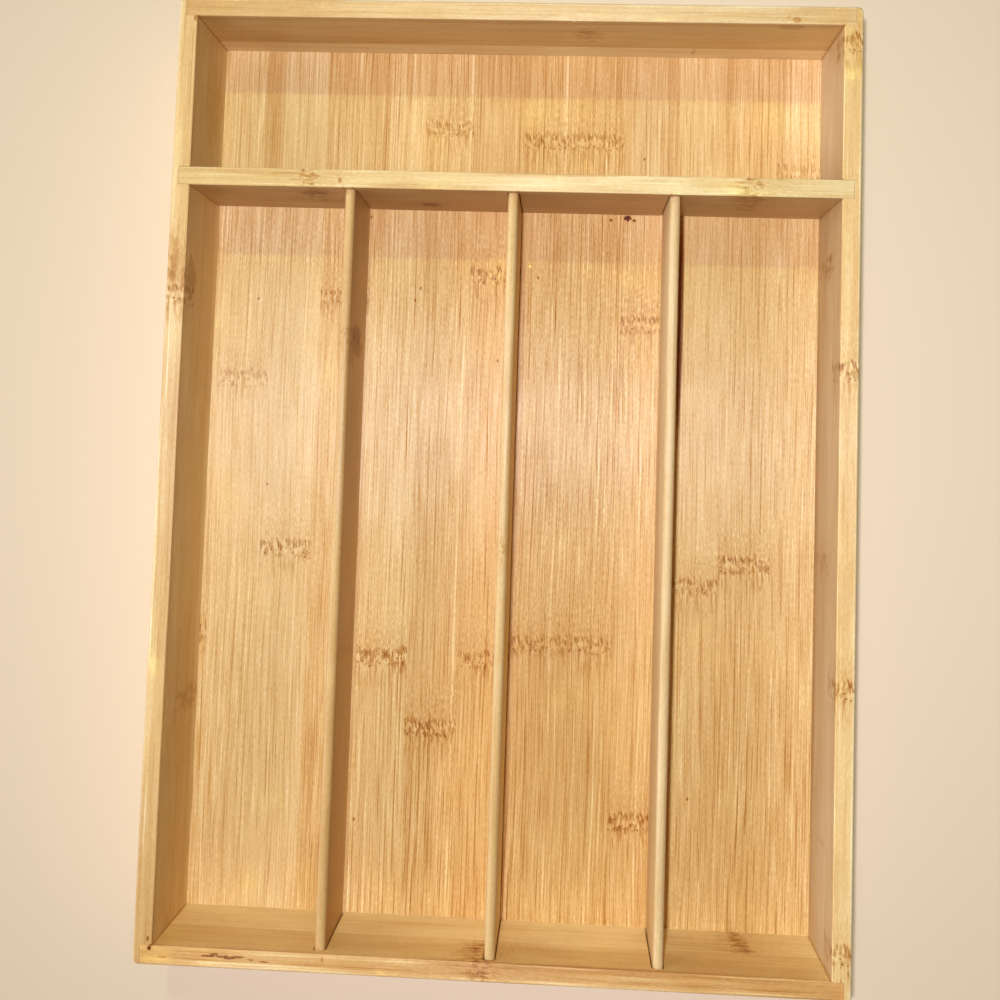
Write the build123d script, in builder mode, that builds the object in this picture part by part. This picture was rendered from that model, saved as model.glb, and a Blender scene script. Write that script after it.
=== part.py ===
"""Bamboo cutlery tray: a shallow open box with one crosswise compartment at the
back and four lengthwise compartments in front of it.

Frame: millimetres, origin at the centre of the footprint on the surface that the
tray stands on, +X to the right, +Y to the back, +Z up.

How it is joined:
  - the side walls run the whole length; a rabbet at each end takes the front or
    back wall, and leaves a thin lip outside it
  - the cross divider drops into a dado in each side wall and stands on the floor
  - each lengthwise divider is a thin board with a rounded top; its ends sit in
    stopped grooves in the front wall and in the cross divider
  - the floor panel is held all round in a groove near the foot of the four walls
"""
from build123d import *
import os

os.makedirs("parts", exist_ok=True)

# ---------------------------------------------------------------- dimensions
W = 260.0            # outer width (X)
L = 362.0            # outer length (Y)
H = 50.0             # outer height (Z)
T = 7.0              # thickness of the four walls and of the cross divider
LIP = 2.6            # wood left outside the rabbets and dadoes of a side wall
END_GAP = 0.10       # glue gap behind the end of a wall or cross divider
SIDE_GAP = 0.05      # glue gap beside the cross divider in its dado
R_CORNER = 2.2       # outer upright corners of the tray
R_RIM = 0.9          # round-over along the outer top edge
R_FOOT = 0.8         # round-over along the outer bottom edge
R_ARRIS = 0.4        # easing of the other top edges

FLOOR_T = 4.0        # floor panel
FLOOR_Z = 2.0        # underside of the floor panel above the table
FLOOR_GROOVE = 3.0   # depth of the floor groove in the walls
FLOOR_TONGUE = 2.6   # how far the panel reaches into that groove

CROSS_Y = 111.7      # centre of the cross divider
DIV_X = (-61.9, 0.6, 61.8)   # centres of the lengthwise dividers
DIV_T = 3.8          # their thickness
DIV_TOP = 46.0       # height of their tops, below the rim
R_DIV = 1.7          # rounding of their top edges
SLOT_W = 4.6         # stopped groove for a divider end
SLOT_D = 3.0         # its depth
SLOT_TOP = 46.5      # height of its rounded top
SLOT_EDGE = 0.25     # eased mouth of the groove
DIV_TONGUE = 2.8     # how far a divider reaches into the groove

FRONT_DROP = 1.2     # the front wall's top falls this much towards its right end

# ------------------------------------------------------------- derived sizes
X_OUT = W / 2
X_IN = X_OUT - T
X_JOINT = X_OUT - LIP
Y_OUT = L / 2
Y_IN = Y_OUT - T
FLOOR_TOP = FLOOR_Z + FLOOR_T
CROSS_FRONT = CROSS_Y - T / 2
CROSS_BACK = CROSS_Y + T / 2
X_END = X_JOINT - END_GAP          # end of the front, back and cross boards
X_MID = (X_IN + X_OUT) / 2

# ------------------------------------------------------------ left side wall
with BuildPart() as left_side_wall:
    with BuildSketch(Plane.XY):
        with Locations((-X_MID, 0)):
            Rectangle(T, L)
    extrude(amount=H)
    # outer upright corners, then the rim and foot round-overs that turn them
    fillet(left_side_wall.edges().filter_by(Axis.Z).group_by(Axis.X)[0], radius=R_CORNER)
    rim = left_side_wall.faces().sort_by(Axis.Z)[-1].edges().sort_by(Axis.X)[:-1]
    fillet(rim, radius=R_RIM)
    foot = left_side_wall.faces().sort_by(Axis.Z)[0].edges().sort_by(Axis.X)[:-1]
    fillet(foot, radius=R_FOOT)
    inner = left_side_wall.faces().sort_by(Axis.Z)[-1].edges().filter_by(Axis.Y).sort_by(Axis.X)[-1]
    fillet(inner, radius=R_ARRIS)
    # rabbets for the front and back walls
    with BuildSketch(Plane.XY):
        with Locations((-(X_IN + X_JOINT) / 2, Y_IN + T / 2), (-(X_IN + X_JOINT) / 2, -Y_IN - T / 2)):
            Rectangle(X_JOINT - X_IN, T)
    extrude(amount=H, mode=Mode.SUBTRACT)
    # dado for the cross divider, open at the rim and closed at the floor
    with BuildSketch(Plane.XY.offset(FLOOR_TOP)):
        with Locations((-(X_IN + X_JOINT) / 2, CROSS_Y)):
            Rectangle(X_JOINT - X_IN, T)
    extrude(amount=H - FLOOR_TOP, mode=Mode.SUBTRACT)
    # floor groove
    with BuildSketch(Plane.XY.offset(FLOOR_Z)):
        with Locations((-X_IN - FLOOR_GROOVE / 2, 0)):
            Rectangle(FLOOR_GROOVE, L)
    extrude(amount=FLOOR_T, mode=Mode.SUBTRACT)

# ----------------------------------------------------------- right side wall
with BuildPart() as right_side_wall:
    mirror(left_side_wall.part, about=Plane.YZ)

# ----------------------------------------------------------------- back wall
with BuildPart() as back_wall:
    with BuildSketch(Plane.XY):
        with Locations((0, Y_IN + T / 2)):
            Rectangle(2 * X_END, T)
    extrude(amount=H)
    top_long = back_wall.faces().sort_by(Axis.Z)[-1].edges().filter_by(Axis.X).sort_by(Axis.Y)
    low_long = back_wall.faces().sort_by(Axis.Z)[0].edges().filter_by(Axis.X).sort_by(Axis.Y)
    fillet(top_long[-1], radius=R_RIM)
    fillet(low_long[-1], radius=R_FOOT)
    inner = back_wall.faces().sort_by(Axis.Z)[-1].edges().filter_by(Axis.X).sort_by(Axis.Y)[0]
    fillet(inner, radius=R_ARRIS)
    # floor groove
    with BuildSketch(Plane.XY.offset(FLOOR_Z)):
        with Locations((0, Y_IN + FLOOR_GROOVE / 2)):
            Rectangle(2 * X_END, FLOOR_GROOVE)
    extrude(amount=FLOOR_T, mode=Mode.SUBTRACT)

# ---------------------------------------------------------------- front wall
with BuildPart() as front_wall:
    # its top edge falls a little towards the right-hand end
    with BuildSketch(Plane.XZ.offset(Y_IN)):
        with BuildLine():
            Polyline(
                (-X_END, 0),
                (X_END, 0),
                (X_END, H - FRONT_DROP),
                (-X_END, H),
                close=True,
            )
        make_face()
    extrude(amount=T)
    top_long = front_wall.faces().sort_by(Axis.Z)[-1].edges().sort_by(Axis.Y)
    fillet(top_long[0], radius=R_RIM)
    low_long = front_wall.faces().sort_by(Axis.Z)[0].edges().filter_by(Axis.X).sort_by(Axis.Y)
    fillet(low_long[0], radius=R_FOOT)
    inner = front_wall.faces().sort_by(Axis.Z)[-1].edges().sort_by(Axis.Y)[-1]
    fillet(inner, radius=R_ARRIS)
    # stopped grooves for the dividers, routed up from the bottom edge
    with BuildSketch(Plane.XZ.offset(Y_IN)):
        with Locations(*[(x, (SLOT_TOP - SLOT_W / 2) / 2) for x in DIV_X]):
            Rectangle(SLOT_W, SLOT_TOP - SLOT_W / 2)
        with Locations(*[(x, SLOT_TOP - SLOT_W / 2) for x in DIV_X]):
            Circle(SLOT_W / 2)
    extrude(amount=SLOT_D, mode=Mode.SUBTRACT)
    # eased mouths of the grooves
    mouth = (
        front_wall.edges()
        .filter_by_position(Axis.Y, -Y_IN - 0.01, -Y_IN + 0.01)
        .filter_by_position(Axis.Z, 0.01, SLOT_TOP + 0.1)
        .filter_by_position(Axis.X, -X_IN + 20, X_IN - 20)
    )
    chamfer(mouth, length=SLOT_EDGE)
    # floor groove
    with BuildSketch(Plane.XY.offset(FLOOR_Z)):
        with Locations((0, -Y_IN - FLOOR_GROOVE / 2)):
            Rectangle(2 * X_END, FLOOR_GROOVE)
    extrude(amount=FLOOR_T, mode=Mode.SUBTRACT)

# ------------------------------------------------------------- cross divider
with BuildPart() as cross_divider:
    with BuildSketch(Plane.XY.offset(FLOOR_TOP)):
        with Locations((0, CROSS_Y)):
            Rectangle(2 * X_END, T - 2 * SIDE_GAP)
    extrude(amount=H - FLOOR_TOP)
    fillet(
        cross_divider.faces().sort_by(Axis.Z)[-1].edges().filter_by(Axis.X),
        radius=R_ARRIS,
    )
    # stopped grooves for the dividers, routed up from the bottom edge
    with BuildSketch(Plane.XZ.offset(-(CROSS_FRONT + SIDE_GAP))):
        with Locations(*[(x, (FLOOR_TOP + SLOT_TOP - SLOT_W / 2) / 2) for x in DIV_X]):
            Rectangle(SLOT_W, SLOT_TOP - SLOT_W / 2 - FLOOR_TOP)
        with Locations(*[(x, SLOT_TOP - SLOT_W / 2) for x in DIV_X]):
            Circle(SLOT_W / 2)
    extrude(amount=-SLOT_D, mode=Mode.SUBTRACT)
    mouth = (
        cross_divider.edges()
        .filter_by_position(Axis.Y, CROSS_FRONT + SIDE_GAP - 0.01, CROSS_FRONT + SIDE_GAP + 0.01)
        .filter_by_position(Axis.Z, FLOOR_TOP + 1, SLOT_TOP + 0.1)
        .filter_by_position(Axis.X, -X_IN + 20, X_IN - 20)
    )
    chamfer(mouth, length=SLOT_EDGE)

# ------------------------------------------------------- lengthwise dividers
DIV_Y0 = -Y_IN - DIV_TONGUE
DIV_Y1 = CROSS_FRONT + SIDE_GAP + DIV_TONGUE

with BuildPart() as left_divider:
    with BuildSketch(Plane.XY.offset(FLOOR_TOP)):
        with Locations((DIV_X[0], (DIV_Y0 + DIV_Y1) / 2)):
            Rectangle(DIV_T, DIV_Y1 - DIV_Y0)
    extrude(amount=DIV_TOP - FLOOR_TOP)
    fillet(left_divider.faces().sort_by(Axis.Z)[-1].edges().filter_by(Axis.Y), radius=R_DIV)

with BuildPart() as middle_divider:
    with BuildSketch(Plane.XY.offset(FLOOR_TOP)):
        with Locations((DIV_X[1], (DIV_Y0 + DIV_Y1) / 2)):
            Rectangle(DIV_T, DIV_Y1 - DIV_Y0)
    extrude(amount=DIV_TOP - FLOOR_TOP)
    fillet(middle_divider.faces().sort_by(Axis.Z)[-1].edges().filter_by(Axis.Y), radius=R_DIV)

with BuildPart() as right_divider:
    with BuildSketch(Plane.XY.offset(FLOOR_TOP)):
        with Locations((DIV_X[2], (DIV_Y0 + DIV_Y1) / 2)):
            Rectangle(DIV_T, DIV_Y1 - DIV_Y0)
    extrude(amount=DIV_TOP - FLOOR_TOP)
    fillet(right_divider.faces().sort_by(Axis.Z)[-1].edges().filter_by(Axis.Y), radius=R_DIV)

# --------------------------------------------------------------- floor panel
with BuildPart() as floor_panel:
    with BuildSketch(Plane.XY.offset(FLOOR_Z)):
        Rectangle(2 * (X_IN + FLOOR_TONGUE), 2 * (Y_IN + FLOOR_TONGUE))
    extrude(amount=FLOOR_T)

# ------------------------------------------------------------------- exports
left_side_wall.part.label = "left_side_wall"
export_step(left_side_wall.part, "parts/left_side_wall.step")
right_side_wall.part.label = "right_side_wall"
export_step(right_side_wall.part, "parts/right_side_wall.step")
back_wall.part.label = "back_wall"
export_step(back_wall.part, "parts/back_wall.step")
front_wall.part.label = "front_wall"
export_step(front_wall.part, "parts/front_wall.step")
cross_divider.part.label = "cross_divider"
export_step(cross_divider.part, "parts/cross_divider.step")
left_divider.part.label = "left_divider"
export_step(left_divider.part, "parts/left_divider.step")
middle_divider.part.label = "middle_divider"
export_step(middle_divider.part, "parts/middle_divider.step")
right_divider.part.label = "right_divider"
export_step(right_divider.part, "parts/right_divider.step")
floor_panel.part.label = "floor_panel"
export_step(floor_panel.part, "parts/floor_panel.step")
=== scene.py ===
import math

import bpy
from mathutils import Matrix, Vector

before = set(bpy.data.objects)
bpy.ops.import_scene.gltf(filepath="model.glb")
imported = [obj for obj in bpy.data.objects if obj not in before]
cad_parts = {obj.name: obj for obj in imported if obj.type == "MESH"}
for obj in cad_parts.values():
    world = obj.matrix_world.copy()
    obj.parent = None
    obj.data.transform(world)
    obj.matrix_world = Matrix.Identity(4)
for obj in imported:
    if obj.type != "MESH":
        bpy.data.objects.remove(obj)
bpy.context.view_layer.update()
scene = bpy.context.scene
MM = 0.001


# =====================================================================
#  Camera: nearly straight down, a little right of the tray's middle
# =====================================================================
RIGHT = Vector((0.99808771, 0.03240048, -0.05264148))
DOWN = Vector((0.02863037, -0.99707541, -0.07085855))
AHEAD = Vector((-0.05478338, 0.0692159, -0.99609635))
EYE = Vector((22.27, 12.04, 527.31)) * MM

cam_data = bpy.data.cameras.new("camera")
cam_data.sensor_fit = "HORIZONTAL"
cam_data.sensor_width = 36.0
cam_data.lens = 36.0 * 1.285
cam_data.shift_x = 0.0046
cam_data.shift_y = -0.1421
cam_data.clip_start = 0.01
cam_data.clip_end = 20.0
camera = bpy.data.objects.new("camera", cam_data)
scene.collection.objects.link(camera)
turn = Matrix((RIGHT, -DOWN, -AHEAD)).transposed()
camera.matrix_world = Matrix.Translation(EYE) @ turn.to_4x4()
scene.camera = camera


# =====================================================================
#  A small language for shader graphs
# =====================================================================
class Num:
    """A number that varies over the surface: one output socket of a graph."""

    def __init__(self, graph, socket):
        self.graph, self.socket = graph, socket

    def __add__(self, other):
        return self.graph.math("ADD", self, other)

    __radd__ = __add__

    def __sub__(self, other):
        return self.graph.math("SUBTRACT", self, other)

    def __rsub__(self, other):
        return self.graph.math("SUBTRACT", other, self)

    def __mul__(self, other):
        return self.graph.math("MULTIPLY", self, other)

    __rmul__ = __mul__

    def __truediv__(self, other):
        return self.graph.math("DIVIDE", self, other)


class Graph:
    def __init__(self, name, flat=False):
        self.material = bpy.data.materials.new(name)
        self.material.use_nodes = True
        self.tree = self.material.node_tree
        self.tree.nodes.clear()
        self.flat = flat  # only one face shows, so patterns need no depth
        where = self.node("ShaderNodeTexCoord")
        made = self.node("ShaderNodeVectorMath", operation="MULTIPLY")
        self.tree.links.new(where.outputs["Object"], made.inputs[0])
        made.inputs[1].default_value = (1000.0, 1000.0, 1000.0)
        self.place = made.outputs[0]  # object coordinates in millimetres

    def node(self, kind, **settings):
        made = self.tree.nodes.new(kind)
        for key, value in settings.items():
            setattr(made, key, value)
        return made

    def put(self, socket, value):
        if isinstance(value, Num):
            self.tree.links.new(value.socket, socket)
        else:
            socket.default_value = value

    def math(self, operation, a, b=None, c=None, clamp=False):
        made = self.node("ShaderNodeMath", operation=operation, use_clamp=clamp)
        for socket, value in zip(made.inputs, (a, b, c)):
            if value is not None:
                self.put(socket, value)
        return Num(self, made.outputs[0])

    def absolute(self, a):
        return self.math("ABSOLUTE", a)

    def lowest(self, a, b):
        return self.math("MINIMUM", a, b)

    def highest(self, a, b):
        return self.math("MAXIMUM", a, b)

    def step(self, x, low, high):
        """0 below low and 1 above high, or the other way round if low > high, eased between."""
        made = self.node("ShaderNodeMapRange", interpolation_type="SMOOTHSTEP", clamp=True)
        if low > high:
            low, high, first, last = high, low, 1.0, 0.0
        else:
            first, last = 0.0, 1.0
        for index, value in enumerate((x, low, high, first, last)):
            self.put(made.inputs[index], value)
        return Num(self, made.outputs[0])

    def vector(self, x, y, z):
        made = self.node("ShaderNodeCombineXYZ")
        for socket, value in zip(made.inputs, (x, y, z)):
            self.put(socket, value)
        return Num(self, made.outputs[0])

    def axes(self):
        made = self.node("ShaderNodeSeparateXYZ")
        self.tree.links.new(self.place, made.inputs[0])
        return [Num(self, s) for s in made.outputs]

    def far(self, centre, size):
        """Squared distance from centre, where size counts as 1 along each axis."""
        off = self.node("ShaderNodeVectorMath", operation="SUBTRACT")
        self.tree.links.new(self.place, off.inputs[0])
        off.inputs[1].default_value = centre
        scaled = self.node("ShaderNodeVectorMath", operation="DIVIDE")
        self.tree.links.new(off.outputs[0], scaled.inputs[0])
        scaled.inputs[1].default_value = size
        square = self.node("ShaderNodeVectorMath", operation="DOT_PRODUCT")
        self.tree.links.new(scaled.outputs[0], square.inputs[0])
        self.tree.links.new(scaled.outputs[0], square.inputs[1])
        return Num(self, square.outputs["Value"])

    def noise(self, x, y, z=0.0, detail=0.0, rough=0.5):
        """Smooth noise, less than 0 about as often as more than 0, mostly within 0.3 of it."""
        made = self.node("ShaderNodeTexNoise", noise_dimensions="2D" if self.flat else "3D")
        made.inputs["Scale"].default_value = 1.0
        made.inputs["Detail"].default_value = detail
        made.inputs["Roughness"].default_value = rough
        self.put(made.inputs["Vector"], self.vector(x, y, 0.0 if self.flat else z))
        return Num(self, made.outputs["Fac"]) - 0.5

    def points(self, x, spacing):
        """Points strewn along a line: the signed distance in mm to the nearest, and three
        random numbers of that point."""
        made = self.node("ShaderNodeTexVoronoi", voronoi_dimensions="1D", feature="F1")
        made.inputs["Scale"].default_value = 1.0
        made.inputs["Randomness"].default_value = 1.0
        scaled = x / spacing
        self.put(made.inputs["W"], scaled)
        split = self.node("ShaderNodeSeparateColor")
        self.tree.links.new(made.outputs["Color"], split.inputs[0])
        off = (scaled - Num(self, made.outputs["W"])) * spacing
        return [off] + [Num(self, s) for s in split.outputs]

    def bundles(self, x, z, u, spacing, radius, reach, seed, uneven=1.0):
        """Fibre bundles along the grain, u: thin marks wherever a face meets them, each with
        a strength of its own that comes and goes within about reach mm."""
        made = self.node("ShaderNodeTexVoronoi", feature="F1",
                         voronoi_dimensions="1D" if self.flat else "2D")
        made.inputs["Scale"].default_value = 1.0
        made.inputs["Randomness"].default_value = uneven
        across = x / spacing + seed
        if self.flat:
            self.put(made.inputs["W"], across)
        else:
            self.put(made.inputs["Vector"], self.vector(across, z / spacing, 0.0))
        split = self.node("ShaderNodeSeparateColor")
        self.tree.links.new(made.outputs["Color"], split.inputs[0])
        ra, rb, rc = [Num(self, s) for s in split.outputs]
        far = Num(self, made.outputs["Distance"]) * spacing
        thick = (ra + 0.5) * radius
        mark = self.step(far / thick, 1.0, 0.3)
        fade = self.step(self.noise(rb * 91.0 + seed, u / reach, rc * 57.0, detail=1.0), -0.10, 0.16)
        return mark * fade * (rc * 0.75 + 0.25)

    def flecks(self, x, t, spacing, centre, spread, half, width, tilt=0.0):
        """A row of short marks across the grain at t = centre, each at its own height."""
        off, ra, rb, rc = self.points(x, spacing)
        dt = t - (ra - 0.5) * spread - centre
        if tilt:
            off = off + dt * (rc - 0.5) * tilt
        long = (rb + 0.4) * half
        mark = self.step(self.absolute(off), width, width * 0.3) * self.step(self.absolute(dt) / long, 1.0, 0.4)
        return mark * (rc * 0.7 + 0.3)

    def table(self, index, rows):
        """The four numbers (0 to 1) of the row that index, a whole number, picks."""
        made = self.node("ShaderNodeValToRGB")
        ramp = made.color_ramp
        ramp.interpolation = "CONSTANT"
        count = len(rows)
        while len(ramp.elements) > 1:
            ramp.elements.remove(ramp.elements[-1])
        ramp.elements[0].position = 0.0
        ramp.elements[0].color = rows[0]
        for i in range(1, count):
            ramp.elements.new(i / count).color = rows[i]
        self.put(made.inputs[0], (index + 0.5) / count)
        split = self.node("ShaderNodeSeparateColor")
        self.tree.links.new(made.outputs["Color"], split.inputs[0])
        return [Num(self, s) for s in split.outputs] + [Num(self, made.outputs["Alpha"])]

    def colour(self, red, green, blue):
        made = self.node("ShaderNodeCombineColor")
        for socket, value in zip(made.inputs, (red, green, blue)):
            self.put(socket, value)
        return Num(self, made.outputs[0])


# =====================================================================
#  Bamboo
# =====================================================================
NONE = 400.0  # a strip with no culm node here
REACH = 500.0
X, Y, Z = 0, 1, 2


def strip(seed, tint=0.0, warm=0.0, contrast=1.0, nodes=(), strength=(1.0, 1.0)):
    """One strip of bamboo. tint is how much lighter it is and warm how much browner, as
    shares; nodes are the places of its culm nodes along the grain, in mm."""
    nodes = tuple(nodes) + (NONE, NONE)
    return {
        "seed": seed, "tint": tint, "warm": warm, "contrast": contrast,
        "nodes": nodes[:2], "strength": strength,
    }


def bamboo(name, grain, across, depth, strips, base, first=None, pitch=None, split=None,
           top=None, top_base=None, marks_and_painted_shading=(), seed=0.0, flat=False, rough=0.44, grainy=1.0,
           shine=0.38, cloud=0.26, slope=(0.0, 0.0), foot=0.0, more=(), keen=(), rim=0.0):
    """Laminated bamboo as a solid: the grain runs along one axis of the tray, the strips
    lie side by side along another, and every face cuts the same fibres. top is the height
    from which the upper edge shows, in top_base. slope is how much lighter the faces
    and the upper edge get for each mm along the grain, foot how much paler they are just
    above the floor, and more the places of further culm nodes in the upper strip. keen has
    the places where the grain is stronger, as (centre, size, how much), and rim is how much
    stronger it is on the upper edge. The marks are stains, and some are painted shade or painted highlights."""
    g = Graph(name, flat)
    xyz = g.axes()
    u, v, w = xyz[grain], xyz[across], xyz[depth]
    q = v if flat else v + w * 0.83

    # which strip this is
    if split is None:
        raw = (v - first) / pitch
        index = g.lowest(g.highest(g.math("FLOOR", raw), 0.0), float(len(strips) - 1))
        edge = g.math("FRACT", raw)
        edge = g.lowest(edge, 1.0 - edge) * pitch
    else:
        index = g.math("GREATER_THAN", v, split)
        edge = g.absolute(v - split)
    own, tint, warm, contrast = g.table(index, [
        (s["seed"], 0.5 + s["tint"], 0.5 + s["warm"], s["contrast"] / 2) for s in strips])
    near_a, near_b, power_a, power_b = g.table(index, [
        ((s["nodes"][0] + REACH) / (2 * REACH), (s["nodes"][1] + REACH) / (2 * REACH),
         s["strength"][0] / 2, s["strength"][1] / 2) for s in strips])
    tint, warm, contrast = tint - 0.5, warm - 0.5, contrast * 2.0

    # the nearest culm node of this strip, and how far above it this place is
    ta = u - (near_a * (2 * REACH) - REACH)
    tb = u - (near_b * (2 * REACH) - REACH)
    is_b = g.math("GREATER_THAN", g.absolute(ta), g.absolute(tb))
    t = ta + is_b * (tb - ta)
    power = (power_a + is_b * (power_b - power_a)) * 2.0
    for place in more:
        tc = u - place
        is_c = g.math("GREATER_THAN", g.absolute(t), g.absolute(tc))
        t = t + is_c * (tc - t)
        power = power + is_c * (index - power)

    # fibres wander a little, and swirl beside a node
    shift = own * 97.0 + seed
    near = g.step(g.absolute(t - 6.0), 17.0, 4.0) * power
    sway = g.noise(u / 90.0, shift, v / 30.0) * 2.0
    swirl = g.noise(q / 2.6 + shift, u / 7.0, detail=1.0) * 1.5 * near
    vs = v + sway + swirl + shift
    ws = w + shift

    # fibres and vessels, seen as lines along the grain
    upper_edge = 0.0 if top is None else g.step(xyz[Z], top, top + 0.9)
    broad = g.noise(vs / 3.2, u / 70.0, ws / 3.2)
    thin = g.noise(vs / 0.62, u / 20.0, ws / 0.62, detail=1.0)
    dash = g.noise(vs / 0.42, u / 1.9, ws / 0.42, detail=1.0)
    dark = g.bundles(vs, ws, u, 1.42, 0.37, 50.0, 3.7, 0.75)
    fine = g.bundles(vs, ws, u, 0.62, 0.22, 24.0, 61.3)
    pale = g.bundles(vs, ws, u, 1.55, 0.39, 40.0, 27.9, 0.75)
    streak = (broad * (upper_edge * 0.41 + 0.09) + thin * 0.26 - dark * 0.37 - fine * 0.37
              + pale * (upper_edge * 0.22 + 0.22)) * contrast
    if rim:
        streak = streak * (upper_edge * rim + 1.0)
    if flat:
        streak = (streak + broad * g.step(u, 100.0, 114.0) * 0.04) * (
            g.step(g.absolute(u - 25.0), 40.0, 150.0) * 0.48 + 0.74)
    fleck = dash * (near * 0.26 + 0.31) * (contrast * 0.5 + 0.5)
    for centre, size, much in keen:
        stronger = g.step(g.far(centre, size), 1.4, 0.5) * much + 1.0
        streak, fleck = streak * stronger, fleck * stronger
    tone = streak * (1.0 - near * 0.30) + fleck

    # slow changes of tone and hue along and across the board
    slow = g.noise(v / 24.0 + shift, u / 100.0, w / 24.0, detail=1.0)
    tone = tone + slow * cloud
    if cloud > 0.1:
        tone = tone + g.noise(v / 7.0 + shift, u / 28.0, w / 7.0, detail=2.0) * (cloud * 0.8)
    hue = warm + g.noise(vs / 4.5 + 11.0, u / 26.0, ws / 4.5, detail=1.0) * 0.05
    if foot:
        low = g.step(xyz[Z], 14.0, 8.0)
        tone = tone - low * (foot * 0.55)
        hue = hue - low * foot

    # the culm node: brown dashes along its upper edge, dark dots below them, amber blots
    # between, and brown tails running down from it
    wob = g.noise(q / 2.1 + shift, 0.5, detail=1.0) * 1.6 + g.noise(q / 9.0 + shift, 9.5) * 1.4
    tn = t + wob
    qs = q + shift
    upper = g.flecks(qs + 3.1, tn, 1.18, 1.9, 2.4, 2.1, 0.48, tilt=0.6)
    crest = g.flecks(qs + 5.3, tn, 1.70, 3.8, 1.6, 1.0, 0.36)
    lower = g.flecks(qs + 7.7, tn, 1.90, -1.9, 3.0, 0.52, 0.48)
    small = g.flecks(qs + 1.9, tn, 1.30, -0.3, 6.5, 0.45, 0.34)
    band = g.step(g.absolute(tn), 4.6, 2.0)
    patch = g.noise(qs / 1.9, u / 3.4, detail=1.0)
    tail = (g.step(g.noise(qs / 0.95, u / 9.0), 0.0, 0.16) * g.step(tn, 0.5, -3.0)
            * g.step(tn, -15.0, -4.0))
    above = g.step(tn, 2.0, 4.0) * g.step(tn, 16.0, 5.0)
    node = (crest * 0.08 - upper * 0.62 - lower * 0.95 - small * 0.50
            + band * (g.step(patch, -0.04, -0.18) * 0.05 - g.step(patch, -0.03, 0.14) * 0.34)
            - tail * 0.27 - above * 0.06)
    tone = tone + node * power * 1.12
    hue = hue + node * power * 0.10

    # a hairline at each glue joint between strips
    tone = tone - g.step(edge, 0.26, 0.06) * 0.06

    light = tone + tint
    if any(slope):
        light = light + u * (upper_edge * (slope[1] - slope[0]) + slope[0])
    # dark specks and stains, each at its own place, and spots of painted shade and painted highlight among them
    ragged = g.noise(u / 1.3, v / 0.7, w / 0.7, detail=1.0)
    cloudy = ragged + g.noise(u / 4.5, v / 2.0, w / 2.0, detail=1.0) * 2.0
    for centre, size, much, rag, *browner in marks_and_painted_shading:
        far = g.far(centre, size)
        if rag > 1.0:
            mark = g.step(far + cloudy * rag, 1.0, 0.1) * (ragged * 1.5 + 1.0)
        else:
            mark = g.step(far + ragged * rag, 1.0, 0.25)
        light = light - mark * much
        if browner:
            hue = hue + mark * browner[0]

    def power_of(x):
        return g.math("POWER", math.e, x)

    def blend(low, high, mask):
        return mask * (high - low) + low

    red = power_of(light * 0.83 - hue)
    green = power_of(light * 1.50 - hue * 2.0)
    blue = power_of(light * 2.52 - hue * 4.0)
    if top is None:
        red, green, blue = red * base[0], green * base[1], blue * base[2]
    else:
        red = red * blend(base[0], top_base[0], upper_edge)
        green = green * blend(base[1], top_base[1], upper_edge)
        blue = blue * blend(base[2], top_base[2], upper_edge)

    # satin lacquer over the fibres: it shines across the grain
    height = dash * 0.6 + thin * 0.5 - dark * 0.2 - (upper + lower + small) * power * 0.35
    bump = g.node("ShaderNodeBump")
    bump.inputs["Strength"].default_value = 0.6
    bump.inputs["Distance"].default_value = 0.00010 * grainy
    g.put(bump.inputs["Height"], height)
    lie = [1.0, 1.0, 1.0]
    lie[grain] = 0.0
    shader = g.node("ShaderNodeBsdfPrincipled")
    g.put(shader.inputs["Base Color"], g.colour(red, green, blue))
    g.put(shader.inputs["Roughness"], dash * 0.2 + rough)
    glint = g.highest(thin * 1.5 + dash * 1.7 - dark * 0.6 + 1.0, 0.1)
    g.put(shader.inputs["Specular IOR Level"], glint * shine)
    shader.inputs["Anisotropic"].default_value = 0.8
    g.put(shader.inputs["Tangent"], g.vector(*lie))
    g.tree.links.new(bump.outputs[0], shader.inputs["Normal"])
    out = g.node("ShaderNodeOutputMaterial")
    g.tree.links.new(shader.outputs[0], out.inputs["Surface"])
    return g.material


# Floor: one panel of strips side by side, each with its own culm nodes.
floor_strips = [
    strip(0.13, 0.02, 0.00, 0.9, (-67,)),
    strip(0.71, 0.02, -0.03, 0.8, (37,), (0.6, 1)),
    strip(0.29, 0.02, -0.04, 0.7, (-31.5,), (0.9, 1)),
    strip(0.83, -0.03, 0.015, 1.0, (71,), (0.9, 1)),
    strip(0.41, 0.01, -0.01, 1.0, (-73.5,), (1.2, 1)),
    strip(0.95, -0.07, -0.01, 1.1, (142.5, -101), (0.8, 1.2)),
    strip(0.07, -0.17, -0.02, 0.9, (82, -73), (1, 0.8)),
    strip(0.55, -0.03, 0.035, 1.1, (138, -66), (0.85, 0.85)),
    strip(0.55, -0.005, 0.06, 1.1, (138, -66), (0.85, 0.85)),
    strip(0.37, -0.085, 0.0, 0.9, (63.5, -134), (0.9, 1.2)),
    strip(0.63, 0.06, 0.04, 0.95, (-41,), (0.85, 1)),
    strip(0.19, 0.05, 0.05, 1.0, (-31.5,), (1.1, 1)),
    strip(0.47, 0.0, 0.005, 1.2, (127,), (0.45, 1)),
    strip(0.89, 0.00, 0.00, 1.0),
]
specks = [(-105, 70), (-40, 71), (-38, 76), (52, 131.5), (-98, -6), (-57, -138), (-5.5, 47),
          (-59.5, 105), (10, 81.5), (75, -124)]
floor_marks_and_painted_shadow = [((x, y, 6), (0.5, 0.75, 9), 0.9, 0) for x, y in specks]
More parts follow.
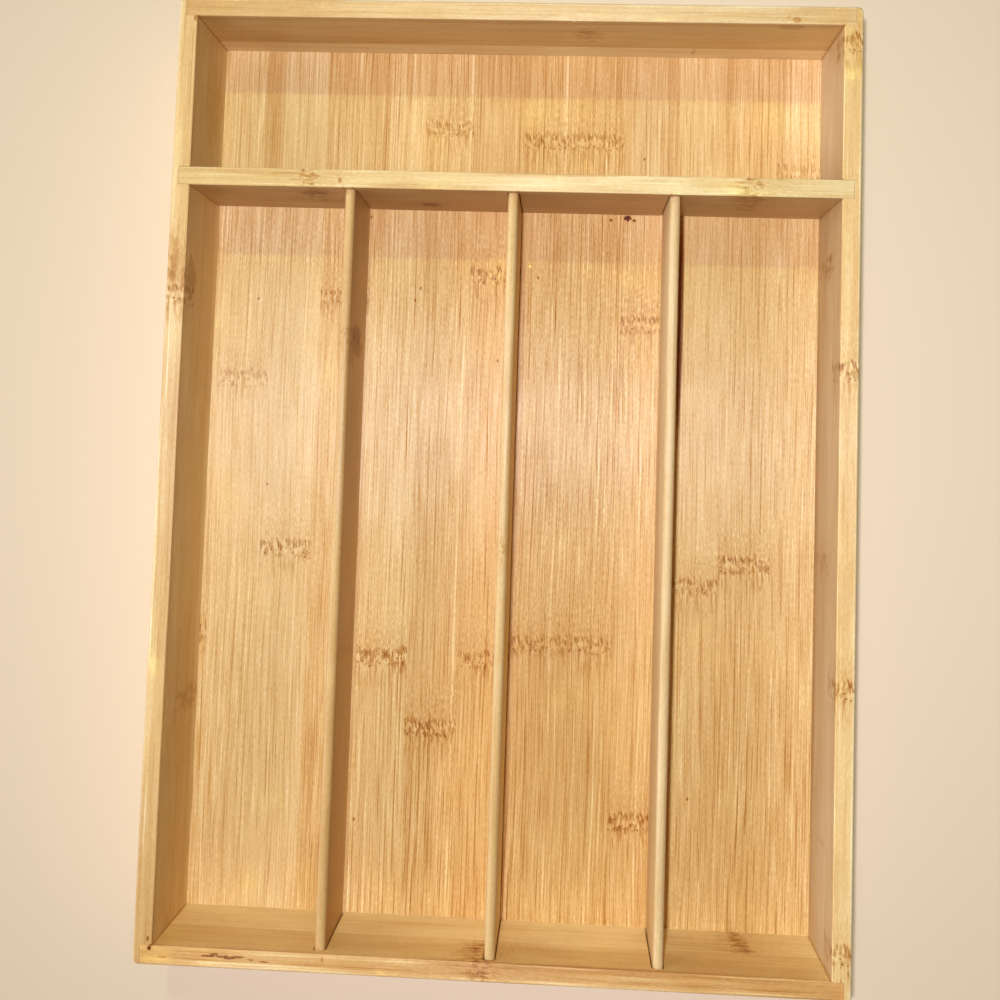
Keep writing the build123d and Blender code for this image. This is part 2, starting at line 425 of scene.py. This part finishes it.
floor_marks_and_painted_shadow += [
    ((46, 107, 6), (1.8, 1.2, 9), 2.5, 2.0), ((48.3, 106.2, 6), (0.9, 0.8, 9), 2.4, 2.0),
    ((39, 106, 6), (0.7, 0.8, 9), 1.2, 0),
    ((78, 146, 6), (62, 40, 9), 0.09, 0.3, -0.08), ((-78, 146, 6), (62, 40, 9), -0.01, 0.3, 0.01),
    # (68, 64): painted shadow, a dark line on the floor along the right side of the right divider
    ((116, 146, 6), (14, 40, 9), 0.0, 0.3, -0.05), ((68.0, 64, 6), (1.6, 52, 9), 1.1, 0.2),
    ((96, -120, 6), (30, 60, 9), 0.04, 0.3), ((-102, 146, 6), (5, 60, 9), 0.17, 0.3),
    ((-56, 146, 6), (4, 60, 9), 0.15, 0.2), ((-46, 146, 6), (1.5, 60, 9), 0.10, 0.3),
    ((41, 146, 6), (1.6, 60, 9), 0.12, 0.3), ((63.5, 146, 6), (2.8, 60, 9), 0.08, 0.3),
    ((86.5, 146, 6), (2.0, 60, 9), 0.10, 0.3), ((107.5, 146, 6), (2.6, 60, 9), 0.12, 0.3),
    ((-110, 146, 6), (10.3, 40, 9), -0.05, 0.3, 0.02), ((-69, 146, 6), (10.3, 40, 9), 0.0, 0.3, -0.03),
    ((-28, 146, 6), (10.3, 40, 9), 0.02, 0.3, -0.03), ((-7.4, 146, 6), (10.3, 40, 9), 0.04, 0.3, -0.05),
    ((54, 146, 6), (10.3, 40, 9), 0.0, 0.3, -0.035), ((-92, 98, 6), (42, 16, 9), -0.02, 0.3),
    ((28, -152, 6), (34, 26, 9), -0.04, 0.3),
    ((54, 98, 6), (10, 14, 9), 0.0, 0.3, -0.05), ((3, 98, 6), (20, 14, 9), 0.0, 0.3, -0.03),
]
floor_keen = [
    ((0, 146, 6), (500, 38, 90), -0.16), ((-92, 98, 6), (42, 16, 90), 0.55),
    ((-92, 8, 6), (34, 45, 90), -0.14), ((-32, 52, 6), (28, 48, 90), 0.26),
    ((31, 40, 6), (30, 82, 90), 0.36), ((31, -112, 6), (32, 50, 90), -0.20),
]
looks = {
    "floor_panel": bamboo("floor_bamboo_look", Y, X, Z, floor_strips, (0.740, 0.478, 0.216),
                          first=-140.83, pitch=20.53, marks_and_painted_shading=floor_marks_and_painted_shadow, flat=True,
                          shine=0.42, cloud=0.08, keen=floor_keen),
}


def seams(*places):
    """Dark upright hairlines where another board meets this one, at (x, y)."""
    return [((x, y, 26), (0.7, 0.7, 60), 0.30, 0.4) for x, y in places]


def painted_arris_highlight(x, y, much):
    """Painted highlight along the outer arris of a wall: paler colour that lifts the shade of the rounded edge and
    draws a bright line on it.
    """
    along_y = y == 0
    return [((x, y, 50 - 0.6 * (y < -100)), (1.3 if along_y else 400, 400 if along_y else 1.3, 1.7),
             -much, 0.4)]


# The walls and the cross divider: two strips each, one above the other. Their marks are
# (centre, size, how much darker, how ragged, how much browner): stains, and painted shade and painted highlights
# where marked.
looks["left_side_wall"] = bamboo(
    "left_side_wall_look", Y, Z, X,
    [strip(0.21, -0.01, 0.01, 0.5, (-90,), (0.5, 1)), strip(0.66, 0.02, 0.01, 0.55, (66.5,), (1.2, 1))],
    (0.730, 0.497, 0.195), split=36.0, top=48.7, top_base=(0.623, 0.382, 0.161), seed=0.0,
    slope=(0.0, 0.0005), foot=0.17, rim=0.55, marks_and_painted_shading=[
        ((-126.5, -150, 50), (8, 75, 3), 0.05, 0.3),
        # painted shade: the darker line down the outer arris at x -130.2; painted highlights: the paler patches on
        # the arris at y -32 and y 130
        ((-130.2, 0, 49.2), (0.7, 400, 3), 0.18, 0.3), ((-129.4, -32, 50), (1.0, 46, 2), -0.20, 0.3),
        ((-128.7, 130, 50), (0.8, 50, 2), -0.14, 0.3), ((-128.4, 73.2, 50), (1.7, 4.2, 3), 0.34, 1.4), ((-124.0, 72.5, 50), (1.2, 4.0, 3), 0.26, 1.4),
        ((-126.5, 80, 50), (4.2, 17, 3), 0.14, 1.1), ((-123, 73, 42), (2, 8.0, 8), 0.30, 1.4),
        ((-127.5, 81, 50), (3.2, 7.5, 3), 0.22, 1.6),
        ((-126.5, 125, 50), (8, 70, 3), -0.04, 0.4, 0.08), ((-123, -90, 17), (2, 6, 11), 0.18, 2.2),
        ((-123, 146, 22), (2, 20, 15), 0.06, 1.4, 0.05), ((-123, -88, 30), (2, 40, 22), 0.05, 1.2),
        ((-124.6, -171.6, 50), (0.5, 1.2, 2), 1.0, 0.8), ((-123.5, -174.0, 50), (0.8, 0.5, 2), 0.9, 0.8),
        ((-125.8, 175.6, 50), (1.1, 1.7, 2), 0.8, 1.4), ((-123.8, 173.2, 50), (0.8, 1.4, 2), 0.6, 1.2),
    ] + painted_arris_highlight(-130, 0, 0.12)
    + seams((-123, -174), (-123, 108.2), (-123, 115.2), (-123, 174)))
looks["right_side_wall"] = bamboo(
    "right_side_wall_look", Y, Z, X,
    [strip(0.77, -0.01, 0.0, 0.5, (86.6, -29), (0.5, 0.4)),
     strip(0.35, -0.06, 0.01, 0.55, (43.8, -72), (1.1, 1.1))],
    (0.675, 0.468, 0.246), split=36.0, top=48.7, top_base=(0.808, 0.553, 0.268), seed=11.0,
    slope=(-0.0003, -0.0002), more=(167.0, -165.0), marks_and_painted_shading=[
        ((126.5, -10, 50), (8, 60, 3), 0.055, 0.3),
        # painted shade: the four darker patches at z 8 along the foot of the inner face
        ((123, -88, 8), (2, 50, 4.5), 0.27, 1.0), ((123, -15, 8), (2, 40, 4.5), 0.24, 1.0),
        ((123, 45, 8), (2, 40, 4.5), 0.18, 1.0), ((123, -145, 8), (2, 30, 4), 0.10, 1.0),
        ((123, 82, 27), (2, 24, 20), 0.04, 1.2), ((123, -30, 27), (2, 30, 15), 0.03, 1.4),
        ((123, 148, 18), (2, 40, 18), -0.03, 0.8, -0.06),
        ((123, 89.0, 29), (2, 2.2, 6), 0.34, 2.0, -0.03), ((123, 84.5, 25), (2, 5.0, 9), 0.17, 2.0, -0.02),
        ((123, 85.0, 25), (2, 1.4, 5), 0.24, 1.6, -0.02), ((123, -27.5, 24), (2, 4.5, 9), 0.12, 2.0, -0.02),
        ((123, -25.5, 27), (2, 1.4, 5), 0.24, 1.6, -0.02), ((123, -131.5, 29), (2, 1.4, 9), 0.16, 2.0),
        ((123.3, 45.4, 49.4), (1.1, 1.7, 2.5), 0.34, 1.6, -0.05), ((128.9, 38.3, 50), (0.6, 2.4, 2), 0.12, 1),
        ((128.1, -71.0, 50), (0.4, 2.0, 2), 0.40, 1), ((129.2, -75.4, 50), (0.9, 1.5, 2), -0.08, 1),
        ((124.6, -161.5, 50), (0.5, 1.5, 2), 0.40, 1.2), ((127.7, -164.2, 50), (0.5, 1.8, 2), 0.40, 1.2),
        ((126.4, -173.6, 50), (0.6, 1.6, 2), 0.35, 1.2), ((128.8, -171.0, 49.5), (0.6, 1.6, 2), 0.30, 1.2),
        ((126.5, 168, 50), (8, 18, 3), -0.02, 0.4, 0.05),
    ] + painted_arris_highlight(130, 0, 0.24)
    + seams((123, -174), (123, 108.2), (123, 115.2), (123, 174)))
looks["back_wall"] = bamboo(
    "back_wall_look", X, Z, Y,
    [strip(0.52, 0.08, -0.08, 0.5), strip(0.09, 0.0, 0.0, 0.6)],
    (0.690, 0.433, 0.162), split=18.5, top=48.7, top_base=(0.675, 0.430, 0.197), seed=23.0,
    slope=(0.0004, 0.0011), foot=0.05, marks_and_painted_shading=[
        ((27.5, 174, 34), (6.5, 2, 9), 0.20, 2.2), ((26.5, 174, 36), (3.2, 2, 3.5), 0.18, 2.0),
        ((70.2, 174, 13.5), (1.0, 2, 6), 0.22, 1.6), ((21.7, 173.8, 49.2), (0.7, 0.9, 0.9), -0.40, 0.6),
        ((101.5, 176.4, 50), (1.9, 2.6, 2), 0.30, 2.2), ((104.8, 175.4, 50), (2.0, 1.1, 2), 0.36, 2.0),
        ((116, 178, 50), (14.5, 8, 3), 0.10, 0.3), ((104, 174, 46), (7, 2, 3.4), 0.22, 1.2),
        # painted shade: the thin darker band at z 47.2 just under the rim's rounding
        ((-20, 174, 47.2), (400, 1.6, 2.0), 0.09, 0.6), ((-70, 174, 23), (60, 2, 5), 0.09, 0.8),
    ] + painted_arris_highlight(0, 181, 0.16) + seams((-123, 174), (123, 174)))
looks["front_wall"] = bamboo(
    "front_wall_look", X, Z, Y,
    [strip(0.31, 0.02, -0.02, 0.5, (94,), (0.9, 1)), strip(0.94, -0.06, 0.03, 0.7, (-3.0,), (0.9, 1))],
    (0.880, 0.620, 0.280), split=28.5, top=47.6, top_base=(0.710, 0.428, 0.180), seed=37.0,
    slope=(0.0005, -0.0002), foot=0.05, rim=0.6, marks_and_painted_shading=[
        # (62, -180.5): painted highlight, a paler band on the rim's outer arris
        ((62, -180.5, 49.4), (66, 2.1, 3), -0.18, 0.4), ((25, -174, 42), (112, 3, 13), 0.13, 0.3), ((31, -177.5, 50), (36, 8, 4), 0.07, 0.3, 0.03),
        ((31, -174, 20), (32, 3, 18), -0.08, 0.3), ((94, -174, 26), (30, 3, 90), 0.10, 0.3),
        ((40, -174.7, 50), (100, 1.8, 3), 0.13, 0.5),
        ((-92, -177.5, 50), (40, 8, 4), -0.02, 0.3, -0.04),
        # painted shade: the dark marks at z 45 in the groove gaps where the three dividers' front ends meet the front
        # wall
        ((0.6, -174, 45.4), (3.0, 1.6, 2.6), 0.60, 0.8, 0.15), ((-61.9, -174, 45.2), (2.9, 1.3, 2.4), 0.30, 0.8),
        ((61.8, -174, 45.2), (2.9, 1.3, 2.4), 0.30, 0.8),
        ((-102.0, -176.6, 50), (2.6, 0.38, 2), 2.8, 2.0, -1.4), ((-99.6, -175.9, 50), (2.8, 0.34, 2), 2.8, 2.0, -1.4),
        ((-96.6, -176.5, 50), (2.8, 0.58, 2), 2.8, 2.4, -1.4), ((-94.2, -177.2, 50), (2.4, 0.34, 2), 2.4, 2.0, -1.2),
        ((-91.0, -176.5, 50), (3.2, 0.38, 2), 2.4, 2.2, -1.2), ((-86.5, -177.3, 50), (3.0, 0.36, 2), 1.6, 2.0, -0.8),
        ((-81.5, -177.8, 50), (3.0, 0.38, 2), 2.2, 2.0, -1.1),
        ((-123.9, -174.9, 50), (0.9, 0.9, 2), 1.8, 0.5),
        ((-118.9, -177.9, 50), (1.8, 0.6, 2), 0.35, 1.5), ((-2.5, -177.0, 50), (4.5, 2.6, 2), 0.10, 6.0),
        ((-5.0, -174, 40), (6.5, 2, 10), 0.24, 2.2), ((-4.0, -174, 36), (2.4, 2, 2.4), 0.45, 1.8),
        ((-3.6, -174.2, 47), (2.0, 1.5, 1.6), 0.6, 1.6), ((-60.0, -175.9, 50), (0.8, 1.2, 2), 0.30, 1),
        ((94.2, -174, 16), (4.0, 2, 11), 0.30, 1.6), ((95.5, -174, 25), (6.5, 2, 1.8), 0.30, 2.2),
        ((94.5, -174, 20), (5.5, 2, 1.2), 0.26, 2.0), ((93.0, -174, 14), (5.0, 2, 1.2), 0.24, 2.0),
    ] + painted_arris_highlight(0, -181, 0.16) + seams((-123, -174), (123, -174)))
looks["cross_divider"] = bamboo(
    "cross_divider_look", X, Z, Y,
    [strip(0.61, 0.0, 0.0, 0.5), strip(0.16, 0.0, 0.0, 0.6, (90.7, -77), (0.9, 0.8))],
    (0.610, 0.380, 0.158), split=20.0, top=48.7, top_base=(0.710, 0.505, 0.245), seed=51.0,
    slope=(0.0, 0.0003), foot=0.07, marks_and_painted_shading=[
        ((-31, 108.2, 26), (36, 3, 90), 0.15, 0.2), ((31, 108.2, 26), (36, 3, 90), 0.10, 0.2),
        ((34, 111.7, 50), (42, 12, 5), -0.08, 0.2), ((-106, 111.7, 50), (30, 12, 5), 0.06, 0.3),
        ((-78.6, 112.4, 50), (2.4, 0.7, 2), 0.42, 1.8), ((-76.4, 109.4, 50), (2.0, 0.6, 2), 0.34, 1.8),
        ((-65.2, 110.9, 50), (0.9, 1.3, 2), 0.55, 1.0), ((-76, 108.2, 40), (7.5, 2, 5.5), 0.28, 2.0),
        ((-74.5, 108.2, 38), (3.2, 2, 2.2), 0.28, 1.8), ((89, 108.2, 44), (6.5, 2, 6.5), 0.26, 2.0),
        ((90.4, 108.4, 49), (1.8, 1.2, 1.4), 0.35, 1.5), ((-67.5, 108.2, 36), (1.8, 1.5, 0.5), -0.18, 1),
        ((-33.5, 108.2, 18.6), (4.2, 2, 4.4), 0.85, 1.4), ((-36, 108.2, 20), (9, 2, 7), 0.12, 1.2),
        ((-79.5, 108.2, 36.5), (3.8, 2, 3.4), 0.36, 1.6),
    ] + seams((-60.0, 108.2), (2.5, 108.2), (-63.8, 108.2), (59.9, 108.2)))
dividers = (
    ("left_divider", (52.5,), 61.0, (0.580, 0.355, 0.140), (0.600, 0.365, 0.150), (0.0, -0.0002),
     [((-60.0, 49.5, 26), (1.5, 4.2, 16), 0.36, 1.6), ((-60.0, 47, 38), (1.5, 5, 7), 0.20, 1.8),
      ((-60.0, 54.5, 29), (1.5, 4.2, 12), 0.50, 1.4)]),
    # middle divider: its body colour is painted paler, standing in for light on its right face, and it darkens
    # towards the back, painted shade
    ("middle_divider", (-25,), 73.0, (0.82, 0.585, 0.262), (0.62, 0.390, 0.166), (-0.0007, -0.0003), []),
    ("right_divider", (), 89.0, (0.74, 0.510, 0.243), (0.650, 0.433, 0.210), (0.0003, -0.0004), []),
)
for name, nodes, seed, body, upper_edge, slope, marks_and_painted_shading in dividers:
    looks[name] = bamboo(
        name + "_look", Y, Z, X,
        [strip(0.4, 0, 0, 0.5), strip(0.5, 0, 0, 0.5, nodes, (0.5, 1))],
        body, split=20.0, top=44.2, top_base=upper_edge, seed=seed, marks_and_painted_shading=marks_and_painted_shading, slope=slope,
        foot=0.10)

for name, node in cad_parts.items():
    for slot in node.material_slots:
        slot.material = looks[name]


# =====================================================================
#  Table and light
# =====================================================================
table = bpy.data.meshes.new("table")
half = 4.0
table.from_pydata([(-half, -half, 0), (half, -half, 0), (half, half, 0), (-half, half, 0)], [], [(0, 1, 2, 3)])
table_object = bpy.data.objects.new("table", table)
scene.collection.objects.link(table_object)
cloth = bpy.data.materials.new("table_plain")
cloth.use_nodes = True
plain = cloth.node_tree.nodes["Principled BSDF"]
plain.inputs["Base Color"].default_value = (0.72, 0.58, 0.455, 1.0)
plain.inputs["Roughness"].default_value = 0.7
table.materials.append(cloth)


def lamp(name, place, aim, size, watts, tint, size_y=None):
    data = bpy.data.lights.new(name, "AREA")
    data.shape = "DISK" if size_y is None else "RECTANGLE"
    data.size = size
    if size_y is not None:
        data.size_y = size_y
    data.energy = watts
    data.color = tint
    made = bpy.data.objects.new(name, data)
    scene.collection.objects.link(made)
    place, aim = Vector(place) * MM, Vector(aim) * MM
    made.matrix_world = Matrix.Translation(place) @ (aim - place).to_track_quat("-Z", "Y").to_matrix().to_4x4()
    return made


def only(light, objects):
    """Let the light reach nothing else."""
    group = bpy.data.collections.new(light.name + "_reaches")
    for lit in objects:
        group.objects.link(lit)
    light.light_linking.receiver_collection = group


lamp("key", (-10, 30, 616), (-5, 0, 0), 0.02, 3.0, (0.935, 0.952, 1.0))
lamp("back", (-100, 755, 1460), (0, 90, 0), 0.025, 3.75, (0.64, 1.0, 0.37))
left = lamp("left", (-1500, 0, 800), (0, 0, 20), 2.0, 27.0, (0.88, 0.91, 1.0), size_y=1.4)
only(left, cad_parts.values())
over = lamp("over_table", (0, 0, 2600), (0, 0, 0), 1.6, 25.0, (1.0, 0.95, 0.93))
only(over, [table_object])
world = bpy.data.worlds.new("studio")
world.use_nodes = True
world.node_tree.nodes["Background"].inputs["Color"].default_value = (1.0, 0.60, 0.20, 1.0)
world.node_tree.nodes["Background"].inputs["Strength"].default_value = 0.09
scene.world = world
scene.view_settings.view_transform = "Standard"
scene.view_settings.look = "None"
scene.view_settings.exposure = 0.0
scene.view_settings.gamma = 1.0
